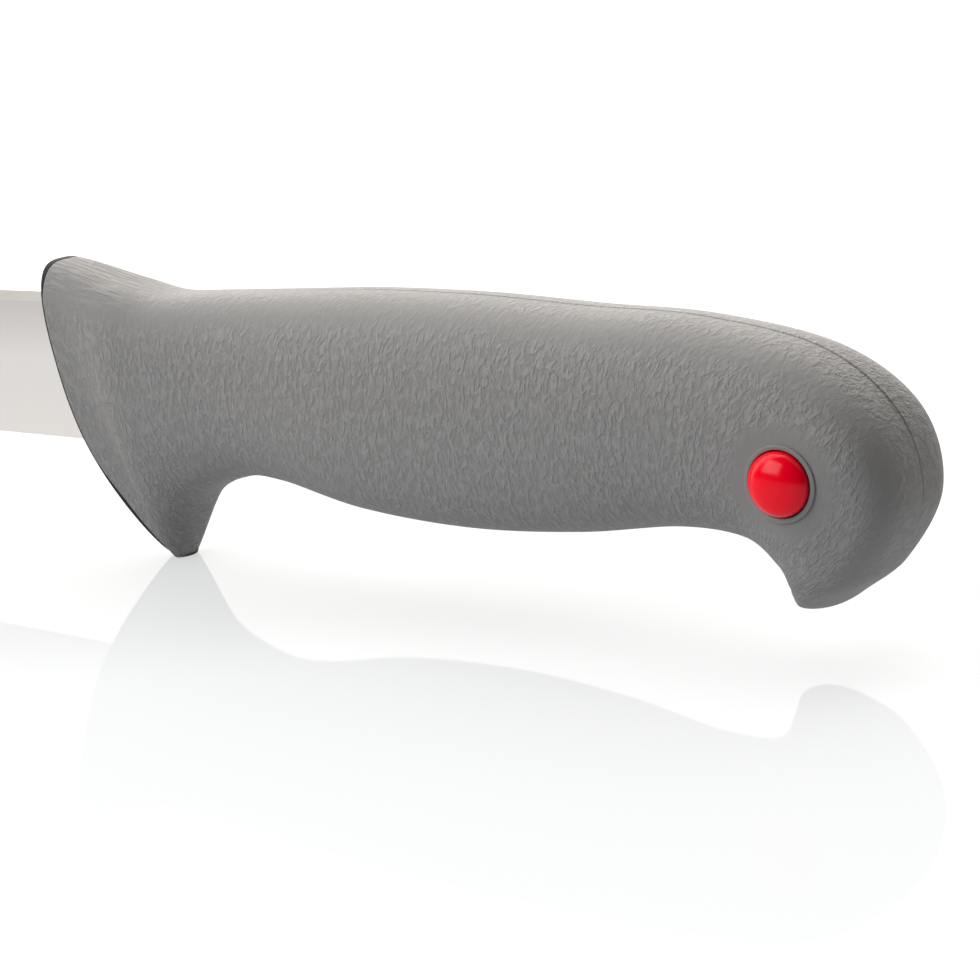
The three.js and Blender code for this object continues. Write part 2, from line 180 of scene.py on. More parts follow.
# The guard's front as a curve, and how far along the rails the handle's lines may cross it
GUARD_FRONT = (
    (1.167 * GUARD_SWEEP, -0.1 * GUARD_HEIGHT),
    (GUARD_SWEEP, 0.02 * GUARD_HEIGHT),
    (0.383 * GUARD_SWEEP, 0.431 * GUARD_HEIGHT),
    (-0.022 * GUARD_SWEEP, 0.985 * GUARD_HEIGHT),
    (-0.041 * GUARD_SWEEP, 1.11 * GUARD_HEIGHT),
)
FRONT_REACH = 0.35

# How much of the flange shows at shares of the guard's height
FLANGE_AT = (0, 0.06, 0.2, 0.34, 0.9, 1)
FLANGE_PART = (0.8, 0.9, 0.9, 0, 0, 1)

# Ends of the core and of the cavity it fills, as shares of the rails
CORE_END = CORE_END_STATION / SPAN
CAVITY_END = CORE_END + 2 * FIT / HANDLE_LENGTH

# Where the built pieces go in the frame
SPINE_LEVEL = GUARD_HEIGHT - SPINE_BELOW_GUARD
blade_low, blade_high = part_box("blade")
PLACE = np.array([
    blade_low[0] / MM + BLADE_LENGTH * POINT_END,
    0,
    blade_high[2] / MM - SPINE_LEVEL,
])

# Places of the plugs and the tang
PLUG_X = HANDLE_LENGTH - PLUG_FROM_BUTT
SEAT = PLUG_SHOWN / 2 + PLUG_GAP
SOCKET_RADIUS = PLUG_STEM / 2 + PLUG_RIB + FIT
COLLAR_FACE = -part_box("colour_plug_near")[0][1] / MM - PLUG_DOME
STEM_ROOT = COLLAR_FACE - PLUG_RIM
SOCKET_FLOOR = STEM_ROOT - PLUG_STEM_LENGTH - FIT
TANG_END = PLUG_X - SOCKET_RADIUS - TANG_END_WALL
TANG_TOP = WAIST_BACK - SKIN - FIT - TANG_COVER


def spline(points, t):
    """Uniform Catmull-Rom curve through the points, at shares t of its length in points."""
    points = np.asarray(points, float)
    ends = np.vstack([2 * points[0] - points[1], points, 2 * points[-1] - points[-2]])
    place = np.clip(np.asarray(t, float), 0, 1) * (len(points) - 1)
    i = np.minimum(place.astype(int), len(points) - 2)
    k = (place - i)[..., None]
    a, b, c, d = ends[i], ends[i + 1], ends[i + 2], ends[i + 3]
    rise, fall = (c - a) / 2, (d - b) / 2
    return (2 * b - 2 * c + rise + fall) * k**3 + (3 * c - 3 * b - 2 * rise - fall) * k**2 + rise * k + b


def section(t, angle, side=0, top=0, bottom=0):
    """Points of the skin at shares t of the rails and angles round the section, drawn in by insets. The
    guard's tip is cut flat."""
    s = spline(STATIONS, t)
    zero = np.zeros_like(s[..., 0])
    upper = np.stack([s[..., 0] * HANDLE_LENGTH, zero, s[..., 1]], -1)
    lower = np.stack([s[..., 2] * HANDLE_LENGTH, zero, s[..., 3]], -1)
    axis = upper - lower
    axis /= np.linalg.norm(axis, axis=-1, keepdims=True)
    middle = lower + (upper - lower) * s[..., 5:6]
    upper = upper - axis * top
    lower = lower + axis * bottom
    across, up = np.cos(angle), np.sin(angle)
    power = 2 / np.where(up >= 0, s[..., 6], s[..., 7])
    end = np.where((up >= 0)[..., None], upper, lower)
    points = middle + (end - middle) * (np.abs(up) ** power)[..., None]
    points[..., 1] = np.sign(across) * (s[..., 4] / 2 - side) * np.abs(across) ** power
    points[..., 2] = np.maximum(points[..., 2], TIP_FLAT)
    return points


def flange_depth(z):
    """How much of the dark flange shows along the guard's front, little at the middle."""
    part = np.interp(np.clip(z / GUARD_HEIGHT, 0, 1), FLANGE_AT, FLANGE_PART)
    return FLANGE_SHOWN[0] + (FLANGE_SHOWN[1] - FLANGE_SHOWN[0]) * part


def front_x(z, share, gap=0):
    """The guard's front, swept across the knife and moved back by a share of the flange and a gap."""
    curve = spline(GUARD_FRONT, np.linspace(0, 1, CURVE_STEPS))
    return np.interp(z, curve[:, 1], curve[:, 0]) + share * flange_depth(z) + gap


# Distances of points beside the parting line, and shares of the rails at which rings are measured
NEAR_PARTING = np.array([0, 0.1, 0.2, 0.32, 0.5])
TABLE_T = np.linspace(0, 1, TABLE_STEPS)


def ring_angles(insets):
    """Angles that space each ring's points evenly along its length, closer beside the parting line."""
    table = np.empty((len(TABLE_T), 4 * GRIP_QUARTER))
    for start in range(4):
        dense = np.linspace(0, math.pi / 2, CURVE_STEPS) + start * math.pi / 2
        points = section(TABLE_T[:, None], dense[None, :] + np.zeros((len(TABLE_T), 1)), **insets)
        steps = np.linalg.norm(np.diff(points, axis=1), axis=2)
        run = np.hstack([np.zeros((len(TABLE_T), 1)), np.cumsum(steps, axis=1)])
        for row, length in enumerate(run[:, -1]):
            far = np.linspace(NEAR_PARTING[-1], length, GRIP_QUARTER - len(NEAR_PARTING) + 2)
            marks = np.concatenate([NEAR_PARTING, far[1:]])
            if start in (0, 2):
                marks = length - marks[::-1]
            quarter = slice(start * GRIP_QUARTER, (start + 1) * GRIP_QUARTER)
            table[row, quarter] = np.interp(marks[:-1], run[row], dense)
    return table


def along_line(table, line, t, insets):
    return section(t, np.interp(t, TABLE_T, table[:, line]), **insets)


def starts(table, insets, share, gap=0):
    """For each line along the handle, the share of the rails at which it passes the guard's front."""
    t = np.linspace(0, FRONT_REACH, FRONT_STEPS)
    found = []
    for line in range(table.shape[1]):
        p = along_line(table, line, t, insets)
        past = p[:, 0] - front_x(p[:, 2], share, gap)
        i = np.nonzero(past < 0)[0][-1]
        found.append(t[i] + (t[i + 1] - t[i]) * past[i] / (past[i] - past[i + 1]))
    return np.array(found)


def new_mesh(name, points, faces, smooth_angle=SMOOTH_ANGLE):
    mesh = bpy.data.meshes.new(name)
    mesh.from_pydata((np.asarray(points) + PLACE) * MM, [], faces)
    mesh.shade_smooth()
    mesh.set_sharp_from_angle(angle=math.radians(smooth_angle))
    thing = bpy.data.objects.new(name, mesh)
    scene.collection.objects.link(thing)
    return thing


def sock(rows, first_middle, last_middle=None):
    """Points and faces of a closed skin through rows of equal length. Each end closes on a middle point,
    or the last one straight across where no middle is given."""
    rows = np.asarray(rows)
    count, sides = rows.shape[:2]
    middles = [first_middle] if last_middle is None else [first_middle, last_middle]
    points = np.vstack([rows.reshape(-1, 3), *middles])
    at = np.arange(count * sides).reshape(count, sides)
    following = np.roll(at, -1, axis=1)
    quads = np.stack([at[:-1], following[:-1], following[1:], at[1:]], -1).reshape(-1, 4)
    faces = [tuple(q) for q in quads.tolist()]
    faces += [(count * sides, b, a) for a, b in zip(at[0], following[0])]
    if last_middle is not None:
        return points, faces + [(count * sides + 1, a, b) for a, b in zip(at[-1], following[-1])]
    quarter = sides // 4
    one = [int(at[-1][(quarter - k) % sides]) for k in range(2 * quarter + 1)]
    other = [int(at[-1][(quarter + k) % sides]) for k in range(2 * quarter + 1)]
    for k in range(2 * quarter):
        strip = [one[k], other[k], other[k + 1], one[k + 1]]
        faces.append(tuple(dict.fromkeys(strip)))
    return points, faces


def turned(name, profile, x, z, side, sides=TURNED_SIDES):
    """A closed solid turned about an axis along Y, from radii and distances from the middle plane."""
    profile = np.asarray(profile, float)
    angle = np.linspace(0, 2 * math.pi, sides, endpoint=False) * -side
    rows = np.stack([
        x + profile[:, None, 0] * np.cos(angle),
        side * profile[:, None, 1] + 0 * angle,
        z + profile[:, None, 0] * np.sin(angle),
    ], -1)
    points, faces = sock(rows[1:-1], (x, side * profile[0, 1], z), (x, side * profile[-1, 1], z))
    return new_mesh(name, points, faces)


def carve(piece, tool, operation, smooth_angle=SMOOTH_ANGLE):
    change = piece.modifiers.new(operation, "BOOLEAN")
    change.operation = operation
    change.solver = "MANIFOLD"
    change.object = tool
    graph = bpy.context.evaluated_depsgraph_get()
    result = bpy.data.meshes.new_from_object(piece.evaluated_get(graph))
    piece.modifiers.clear()
    piece.data = result
    bpy.data.objects.remove(tool)
    result.shade_smooth()
    result.set_sharp_from_angle(angle=math.radians(smooth_angle))


def arc(centre, radii, first, last, steps):
    angles = np.radians(np.linspace(first, last, steps))
    return [(centre[0] + radii[0] * math.cos(a), centre[1] + radii[1] * math.sin(a)) for a in angles]


# Grip: rows of points along its skin, closer together at the front edge
grip_table = ring_angles({})
front = starts(grip_table, {}, 1, SEAM)
lines = grip_table.shape[1]
t_even = np.linspace(0, 1, EVEN_STEPS)
mean_step = np.mean([
    np.linalg.norm(np.diff(along_line(grip_table, j, t_even, {}), axis=0), axis=1)
    for j in range(0, lines, MEAN_EVERY)
], axis=0)
mean_run = np.concatenate([[0], np.cumsum(mean_step)])
EDGE_STEPS = np.array([0, 0.06, 0.2, 0.44, 0.8]) * EDGE_ROUND
EDGE_END = 1.1 * EDGE_ROUND
outer = np.empty((GRIP_ROWS, lines, 3))
shares = np.empty((GRIP_ROWS, lines))
for j in range(lines):
    begin = np.interp(front[j], t_even, mean_run)
    rest = np.linspace(begin + EDGE_END, mean_run[-1], GRIP_ROWS - len(EDGE_STEPS))
    shares[:, j] = np.interp(np.concatenate([begin + EDGE_STEPS, rest]), mean_run, t_even)
    outer[:, j] = along_line(grip_table, j, shares[:, j], {})

tangent = np.gradient(outer, axis=0)
sideways = np.roll(outer, -1, axis=1) - np.roll(outer, 1, axis=1)
normal = np.cross(sideways, tangent)
normal /= np.linalg.norm(normal, axis=2, keepdims=True)

# Distances along and round the skin, which carry the grain
hops = np.linalg.norm(np.roll(outer, -1, axis=1) - outer, axis=2)
order = (np.arange(lines) + 3 * GRIP_QUARTER) % lines
round_run = np.concatenate([np.zeros((GRIP_ROWS, 1)), np.cumsum(hops[:, order], axis=1)], axis=1)
round_run -= round_run[:, 2 * GRIP_QUARTER:2 * GRIP_QUARTER + 1]
along_run = np.interp(shares, t_even, mean_run)

# Front edge rounded over
strides = np.linalg.norm(np.diff(outer, axis=0), axis=2)
gone = np.concatenate([np.zeros((1, lines)), np.cumsum(strides, axis=0)])
short = np.clip(1 - gone / EDGE_ROUND, 0, 1)
sink = EDGE_ROUND * (1 - np.sqrt(1 - short**2))

# Parting line along the middle of the back: its depth beside the middle and along the rails
PARTING_SHAPE = np.array([1, 0.85, 0.3, -0.12, 0])
PARTING_AT = (0.3, 0.42, 0.5, 0.78, 0.83, 0.9, 0.95)
PARTING_PART = (0, 0.5, 1, 1, 0.4, 0.2, 0)
beside = np.abs(np.arange(lines) - GRIP_QUARTER)
parting = PARTING_SHAPE[np.minimum(beside, len(PARTING_SHAPE) - 1)]
ease = np.interp(shares, PARTING_AT, PARTING_PART)
sink = sink + PARTING_DEPTH * ease * parting[None, :]
outer -= normal * sink[..., None]

# Rounded tip of the hook
ring = outer[-1]
middle = ring.mean(axis=0)
on_back, on_belly = section(np.ones(2), np.array([math.pi / 2, -math.pi / 2]))
lean = on_back - on_belly
lean /= np.linalg.norm(lean)
outward = np.array([lean[2], 0, -lean[0]])
dome_height = HOOK_ROUND / (1 - math.sin(DOME_START))
dome = [
    middle
    + (ring - middle) * math.cos(a) / math.cos(DOME_START)
    + outward * dome_height * (math.sin(a) - math.sin(DOME_START))
    for a in np.linspace(DOME_START, math.pi / 2, HOOK_STEPS)[1:-1]
]
hook_tip = middle + outward * HOOK_ROUND

# The tip's edge is rounded over by evening out the last stretch of each line
hook = np.concatenate([outer[-HOOK_ROUNDING:], dome, np.broadcast_to(hook_tip, (1, lines, 3))])
soft = np.interp(np.arange(len(hook)), [0, HOOK_ROUNDING / 2], [0, 1])[1:-1, None, None]
for _ in range(HOOK_ROUNDING):
    evened = (hook[:-2] + 2 * hook[1:-1] + hook[2:]) / 4
    hook[1:-1] += soft * (evened - hook[1:-1])
outer[-HOOK_ROUNDING:] = hook[:HOOK_ROUNDING]
dome = hook[HOOK_ROUNDING:-1]

# Cavity that the core fills
WALL = {"side": SKIN, "top": SKIN, "bottom": SKIN}
wall_table = ring_angles(WALL)
wall_front = starts(wall_table, WALL, 1, SEAM)
cavity = np.stack([
    along_line(wall_table, j, np.linspace(CAVITY_END, wall_front[j], CORE_ROWS), WALL)
    for j in range(lines)
], axis=1)
points, faces = sock([*cavity, *outer, *dome], cavity[0].mean(axis=0), hook_tip)
grip = new_mesh("grip_skin", points, faces)

# The grain's distances as a map on the skin, in metres
grain = np.zeros((len(grip.data.loops), 2))
first_outer = CORE_ROWS * lines * 4
at_line = (np.arange(lines) - 3 * GRIP_QUARTER) % lines
for row in range(GRIP_ROWS - 1):
    place = first_outer + row * lines * 4
    near, far = round_run[row], round_run[row + 1]
    corners = np.stack([near[at_line], near[at_line + 1], far[at_line + 1], far[at_line]], -1)
    here, there = along_run[row], along_run[row + 1]
    lengths = np.stack([here, np.roll(here, -1), np.roll(there, -1), there], -1)
    grain[place:place + lines * 4] = np.stack([lengths.ravel(), corners.ravel()], -1) * MM
grip.data.uv_layers.new(name="grain").data.foreach_set("uv", grain.ravel())

# Plug seats
rim = SEAT + COLLAR_WALL
collar_root = COLLAR_FACE - SKIN + COLLAR_CLEAR
turn_in = COLLAR_FACE - COLLAR_ROUND
both_ways = (COLLAR_ROUND, COLLAR_ROUND)
for side in (-1, 1):
    collar = turned("collar", [
        (0, collar_root),
        (rim, collar_root),
        *arc((rim - COLLAR_ROUND, turn_in), both_ways, 0, 90, COLLAR_STEPS),
        (0, COLLAR_FACE),
    ], PLUG_X, PLUG_LEVEL, side)
    carve(grip, collar, "UNION")
    seat = turned("seat", [
        (0, SOCKET_FLOOR),
        (SOCKET_RADIUS, SOCKET_FLOOR),
        (SOCKET_RADIUS, STEM_ROOT - FIT),
        (SEAT, STEM_ROOT - FIT),
        *arc((SEAT + COLLAR_ROUND, turn_in), both_ways, 180, 90, SEAT_STEPS),
        (SEAT + COLLAR_ROUND, COLLAR_FACE + SKIN),
        (0, COLLAR_FACE + SKIN),
    ], PLUG_X, PLUG_LEVEL, side)
    carve(grip, seat, "DIFFERENCE")

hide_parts("handle_grip")
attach(grip, "knife")

# Core: its body inside the skin, and the flange that shows as a dark edge round the guard's front
INSIDE = {"side": SKIN + FIT, "top": SKIN + FIT, "bottom": SKIN + FIT}
RIM = {"side": FLANGE_INSET, "top": 0, "bottom": FLANGE_LIFT}
core_table = ring_angles(INSIDE)
core_front = starts(core_table, INSIDE, 1)
core_rows = [
    along_line(core_table, j, np.linspace(CORE_END, core_front[j], CORE_ROWS), INSIDE)
    for j in range(lines)
]
rim_table = ring_angles(RIM)
rim_rows = [
    along_line(rim_table, j, np.linspace(back, ahead, RIM_ROWS), RIM)
    for j, (back, ahead) in enumerate(zip(starts(rim_table, RIM, 1), starts(rim_table, RIM, 0)))
]
core_rows = np.concatenate([np.stack(core_rows, axis=1), np.stack(rim_rows, axis=1)])
points, faces = sock(core_rows, core_rows[0].mean(axis=0))
core = new_mesh("core_and_flange", points, faces)


def block(name, low, high):
    wide, deep, tall = zip(low, high)
    corners = [(x, y, z) for x in wide for y in deep for z in tall]
    faces = [(0, 1, 3, 2), (4, 6, 7, 5), (0, 4, 5, 1), (2, 3, 7, 6), (0, 2, 6, 4), (1, 5, 7, 3)]
    return new_mesh(name, corners, faces)


half_slot = BLADE_STOCK / 2 + FIT
carve(core, block(
    "slot",
    (-BLADE_HEIGHT, -half_slot, SPINE_LEVEL - BLADE_HEIGHT - FIT),
    (SPINE_STEP[0], half_slot, SPINE_LEVEL + FIT),
), "DIFFERENCE")
for side in (-1, 1):
    socket = turned("socket", [
        (0, SOCKET_FLOOR),
        (SOCKET_RADIUS, SOCKET_FLOOR),
        (SOCKET_RADIUS, COLLAR_FACE + SKIN),
        (0, COLLAR_FACE + SKIN),
    ], PLUG_X, PLUG_LEVEL, side)
    carve(core, socket, "DIFFERENCE")
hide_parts("handle_core")
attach(core, "knife")


# Blade: a ground blank with a narrow strip beside the spine, and the tang behind it
def smooth(x, low, high):
    share = np.clip((x - low) / (high - low), 0, 1)
    return share * share * (3 - 2 * share)


def blade_ring(x):
    to_point = min(max(-x / BLADE_LENGTH, 0), 1)
    drop = POINT_DROP * to_point**SPINE_DROP_POWER
    step = (SPINE_LEVEL - TANG_TOP) * smooth(x, *SPINE_STEP)
    top = SPINE_LEVEL - drop - step
    heel = SPINE_LEVEL - BLADE_HEIGHT
    bottom = heel + (TANG_TOP - TANG_HEIGHT - heel) * smooth(x, *HEEL_STEP)
    if to_point > 0:
        rise = (1 - EDGE_RISE * to_point) * (1 - to_point**POINT_POWER)**POINT_FULLNESS
        bottom = top - BLADE_HEIGHT * rise
    height = top - bottom
    stock = (BLADE_STOCK + (POINT_STOCK - BLADE_STOCK) * smooth(to_point, *STOCK_TAPER)) / 2
    ground = 1 - smooth(x, SPINE_STEP[1], HEEL_STEP[0])
    bevel = stock - ground * max(stock - BEVEL_STOCK / 2, 0)
    edge = stock - ground * (stock - EDGE_STOCK / 2)
    strip = min(SPINE_STRIP[1], STRIP_LIMIT * height)
    down = np.linspace(0, 1, GRIND_STEPS)
    depth = [0, *(strip + down * (height - strip - EDGE_BEVEL * ground)), height]
    wide = [stock - SPINE_STRIP[0], *(stock - (stock - bevel) * down**GRIND_POWER), edge]
    near = [(x, -y, top - d) for y, d in zip(wide, depth)]
    return [(x, -y, z) for x, y, z in near[::-1]] + near


ahead = -BLADE_LENGTH * POINT_END * np.cos(np.linspace(0, math.pi / 2, BLADE_STEPS + 1))
behind = np.linspace(0, TANG_END, TANG_STEPS + 1)[1:]
rings = np.array([blade_ring(x) for x in (*ahead, *behind)])
points, faces = sock(rings, rings[0].mean(axis=0), rings[-1].mean(axis=0))
blade = new_mesh("ground_blade", points, faces, BLADE_SMOOTH_ANGLE)
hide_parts("blade")
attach(blade, "knife")


# Plugs
def plug(name, node, body, side):
    tip = STEM_ROOT - PLUG_STEM_LENGTH
    piece = turned(name, [
        (0, tip),
        (PLUG_TIP, tip),
        (PLUG_STEM / 2, tip + PLUG_CHAMFER),
        (PLUG_STEM / 2, STEM_ROOT),
        (PLUG_SHOWN / 2 - PLUG_EDGE, STEM_ROOT),
        (PLUG_SHOWN / 2, STEM_ROOT + PLUG_EDGE),
        *arc((0, COLLAR_FACE), (PLUG_SHOWN / 2, PLUG_DOME), 0, 90, DOME_STEPS),
    ], PLUG_X, PLUG_LEVEL, side)
    rib_end = tip + PLUG_CHAMFER
    for k in range(PLUG_RIB_COUNT):
        turn = k / PLUG_RIB_COUNT * 2 * math.pi
        rib_x = PLUG_X + PLUG_STEM / 2 * math.cos(turn)
        rib_z = PLUG_LEVEL + PLUG_STEM / 2 * math.sin(turn)
        rib = turned("rib", [
            (0, rib_end),
            (RIB_TIP, rib_end),
            (PLUG_RIB, rib_end + RIB_LEAD),
            (PLUG_RIB, STEM_ROOT + RIB_IN_HEAD),
            (0, STEM_ROOT + RIB_IN_HEAD),
        ], rib_x, rib_z, side, RIB_SIDES)
        carve(piece, rib, "UNION")
    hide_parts(node)
    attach(piece, body)
    return piece


plugs = [
    plug("plug_near", "colour_plug_near", "near_plug", -1),
    plug("plug_far", "colour_plug_far", "far_plug", 1),
]


# Grain of the grip: waves per metre along and round the skin, a shift, and how they become relief
FIBRES = (2100, 1000, 0.0)
FIBRE_RELIEF = (0.4, 0.6, 0.0, 0.4)
FOLDS = (1250, 620, 5.7)
FOLD_RELIEF = (0.43, 0.6, 0.0, 0.55)
PATCHES = (110, 80, 3.1)
PATCH_RELIEF = (0.35, 0.62, 0.7, 1.0)
FLOW = (260, 1300, 0.0)
FLOW_RELIEF = (0.4, 0.64, 0.0, 1.0)

# How strong the grain is over distances in metres, on the back, the flank and the hump and by the plugs.
# It also sets the painted pit shade, which is strongest on the flank.
BACK_GRAIN = (0.0045, 0.0065, 1.0, 0.4)
FLANK_GRAIN = (0.0085, 0.012, 0.4, 1.35)
HUMP_ALONG = (0.017, 0.026, 1.0, 0.0)
HUMP_ROUND = (0.006, 0.009, 1.0, 0.0)
BESIDE_PLUG = (0.006, 0.0085, 0.1, 1.0)

# Tones of the grip, low and high in the grain; the darker low tone is painted shade in the grain's pits
GRIP_PIT_SHADE = (0.17, 0.168, 0.166, 1)
GRIP_HIGH = (0.208, 0.205, 0.203, 1)

# Tones of the blade, the steel's tone with painted light: a painted gleam on the strip beside the spine,
# then painted shade below it and a painted reflection growing lighter down to the edge
STRIP_PAINTED_GLEAM = (0.7, 0.67, 0.62)
UPPER_PAINTED_SHADE = (0.61, 0.575, 0.55)
MIDDLE_PAINTED_REFLECTION = (0.765, 0.74, 0.715)
EDGE_PAINTED_REFLECTION = (0.83, 0.79, 0.755)
STRIP_EDGE = 0.01
MIDDLE_DEPTH = 0.45


# Materials
class Shader:
    def __init__(self, name):
        self.material = bpy.data.materials.new(name)
        self.material.use_nodes = True
        self.tree = self.material.node_tree
        self.surface = self.tree.nodes["Principled BSDF"]

    def node(self, kind, inputs=None, **settings):
        made = self.tree.nodes.new(kind)
        for key, value in settings.items():
            setattr(made, key, value)
        for key, value in (inputs or {}).items():
            if isinstance(value, bpy.types.NodeSocket):
                self.tree.links.new(value, made.inputs[key])
            else:
                made.inputs[key].default_value = value
        return made

    def maths(self, operation, a, b=0.0):
        return self.node("ShaderNodeMath", {0: a, 1: b}, operation=operation).outputs[0]

    def ramp(self, value, low, high, to_low, to_high):
        return self.node("ShaderNodeMapRange", {
            "Value": value, "From Min": low, "From Max": high, "To Min": to_low, "To Max": to_high,
        }, interpolation_type="SMOOTHSTEP").outputs[0]

    def bands(self, value, stops):
        made = self.node("ShaderNodeValToRGB", {"Fac": value})
        colours = made.color_ramp.elements
        while len(colours) < len(stops):
            colours.new(0.5)
        for held, (place, colour) in zip(colours, stops):
            held.position = place
            held.color = (*colour, 1)
        return made.outputs["Color"]

    def set(self, **inputs):
        for key, value in inputs.items():
            name = key.replace("_", " ")
            if isinstance(value, bpy.types.NodeSocket):
                self.tree.links.new(value, self.surface.inputs[name])
            else:
                self.surface.inputs[name].default_value = value


def grip_plastic():
    s = Shader("grip_plastic")
    run = s.node("ShaderNodeUVMap", uv_map="grain").outputs[0]
    parts = s.node("ShaderNodeSeparateXYZ", {"Vector": run})
    length = parts.outputs["X"]
    girth = s.maths("ABSOLUTE", parts.outputs["Y"])

    def streaks(along, around, shift):
        stretched = s.node("ShaderNodeMapping", {
            "Vector": run, "Location": (shift, shift, 0), "Scale": (along, around, 1),
        }).outputs[0]
        return s.node("ShaderNodeTexNoise", {
            "Vector": stretched, "Scale": 1.0, "Detail": 2.0, "Distortion": 0.4,
        }, noise_dimensions="2D").outputs["Fac"]

    fibres = s.ramp(streaks(*FIBRES), *FIBRE_RELIEF)
    folds = s.ramp(streaks(*FOLDS), *FOLD_RELIEF)
    patches = s.ramp(streaks(*PATCHES), *PATCH_RELIEF)
    strong = s.maths("MAXIMUM", s.ramp(girth, *BACK_GRAIN), s.ramp(girth, *FLANK_GRAIN))
    relief = s.maths("MULTIPLY", s.maths("ADD", fibres, folds), s.maths("MULTIPLY", patches, strong))
    hump = s.maths("MULTIPLY", s.ramp(length, *HUMP_ALONG), s.ramp(girth, *HUMP_ROUND))
    flow = s.ramp(streaks(*FLOW), *FLOW_RELIEF)
    height = s.node("ShaderNodeMix", {0: hump, 2: relief, 3: flow}).outputs[0]
    spot = s.node("ShaderNodeTexCoord").outputs["Object"]
    flat = s.node("ShaderNodeMapping", {
        "Vector": spot,
        "Location": (-(PLUG_X + PLACE[0]) * MM, 0, -(PLUG_LEVEL + PLACE[2]) * MM),
        "Scale": (1, 0, 1),
    }).outputs[0]
    away = s.node("ShaderNodeVectorMath", {0: flat}, operation="LENGTH").outputs["Value"]
    grain = s.maths("MULTIPLY", height, s.ramp(away, *BESIDE_PLUG))
    bump = s.node("ShaderNodeBump", {
        "Height": grain, "Strength": 1.0, "Distance": GRAIN_DEPTH * MM,
    }).outputs[0]
    # Base colour darker where the grain is low: painted shade in its pits
    tone = s.node("ShaderNodeMix", {
        0: grain, 6: GRIP_PIT_SHADE, 7: GRIP_HIGH,
    }, data_type="RGBA").outputs[2]
    s.set(Base_Color=tone, Roughness=0.6, Specular_IOR_Level=0.2, Normal=bump)
    return s.material


def core_plastic():
    s = Shader("core_plastic")
    place = s.node("ShaderNodeTexCoord").outputs["Object"]
    speck = s.node("ShaderNodeTexNoise", {
        "Vector": place, "Scale": 1400.0, "Detail": 2.0,
    }).outputs["Fac"]
    bump = s.node("ShaderNodeBump", {"Height": speck, "Strength": 0.3, "Distance": 0.00003}).outputs[0]
    s.set(Base_Color=(0.022, 0.022, 0.023, 1), Roughness=0.6, Specular_IOR_Level=0.08, Normal=bump)
    return s.material


def plug_plastic():
    s = Shader("plug_plastic")
    place = s.node("ShaderNodeTexCoord").outputs["Object"]
    swirl = s.node("ShaderNodeTexNoise", {
        "Vector": place, "Scale": 260.0, "Detail": 2.0,
    }).outputs["Fac"]
    bump = s.node("ShaderNodeBump", {"Height": swirl, "Strength": 0.15, "Distance": 0.00005}).outputs[0]
    s.set(Base_Color=(0.69, 0.0, 0.012, 1), Roughness=0.17, Specular_IOR_Level=0.17, Normal=bump)
    return s.material


def satin_steel():
    s = Shader("satin_steel")
    place = s.node("ShaderNodeTexCoord").outputs["Object"]
    drawn = s.node("ShaderNodeMapping", {"Vector": place, "Scale": (4000, 400, 160)}).outputs[0]
    grooves = s.node("ShaderNodeTexNoise", {
        "Vector": drawn, "Scale": 1.0, "Detail": 2.0,
    }).outputs["Fac"]
    rough = s.node("ShaderNodeMapRange", {"Value": grooves, "To Min": 0.3, "To Max": 0.42}).outputs[0]
    bump = s.node("ShaderNodeBump", {
        "Height": grooves, "Strength": 0.12, "Distance": 0.00002,
    }).outputs[0]
    # Base colour by depth below the spine: a painted gleam on the strip, painted shade below it and a
    # painted reflection lighter towards the edge
    level = s.node("ShaderNodeSeparateXYZ", {"Vector": place}).outputs["Z"]
    spine = blade_high[2]
    depth = s.node("ShaderNodeMapRange", {
        "Value": level, "From Min": spine, "From Max": spine - BLADE_HEIGHT * MM,
    }).outputs[0]
    strip = SPINE_STRIP[1] / BLADE_HEIGHT
    tone = s.bands(depth, (
        (0, STRIP_PAINTED_GLEAM),
        (strip, STRIP_PAINTED_GLEAM),
        (strip + STRIP_EDGE, UPPER_PAINTED_SHADE),
        (MIDDLE_DEPTH, MIDDLE_PAINTED_REFLECTION),
        (1, EDGE_PAINTED_REFLECTION),
    ))
    s.set(Base_Color=tone, Metallic=1.0, Roughness=rough, Normal=bump)
    return s.material


def dress(thing, material):
    thing.data.materials.clear()
    thing.data.materials.append(material)


dress(grip, grip_plastic())
dress(core, core_plastic())
red = plug_plastic()
for piece in plugs:
    dress(piece, red)
dress(blade, satin_steel())

# Floor: it leans with the knife, which touches it with the tip of its guard, and glows more on one side
PITCH = math.radians(2.2)
FLOOR = 20.0
GLOW_WAY = (0.58, -0.815, 0)
GLOW = (0.0, 0.035, 0.53, 0.59)
lean_matrix = Matrix.Rotation(PITCH, 4, "Y")
lowest = min((lean_matrix.inverted() @ v.co).z for v in grip.data.vertices)
half = FLOOR / 2
floor_mesh = bpy.data.meshes.new("floor")
floor_corners = [(-half, -half, 0), (half, -half, 0), (half, half, 0), (-half, half, 0)]
floor_mesh.from_pydata(floor_corners, [], [(0, 1, 2, 3)])
floor = bpy.data.objects.new("floor", floor_mesh)
floor.matrix_world = lean_matrix @ Matrix.Translation((0, 0, lowest))
scene.collection.objects.link(floor)
f = Shader("floor_white")
spread = f.node("ShaderNodeVectorMath", {
    0: f.node("ShaderNodeTexCoord").outputs["Object"], 1: GLOW_WAY,
}, operation="DOT_PRODUCT").outputs["Value"]
glow = f.ramp(spread, *GLOW)
f.set(Base_Color=(0.195, 0.203, 0.214, 1), Roughness=0.04, IOR=1.06)
f.set(Emission_Color=(1, 1, 1, 1), Emission_Strength=glow)
dress(floor, f.material)

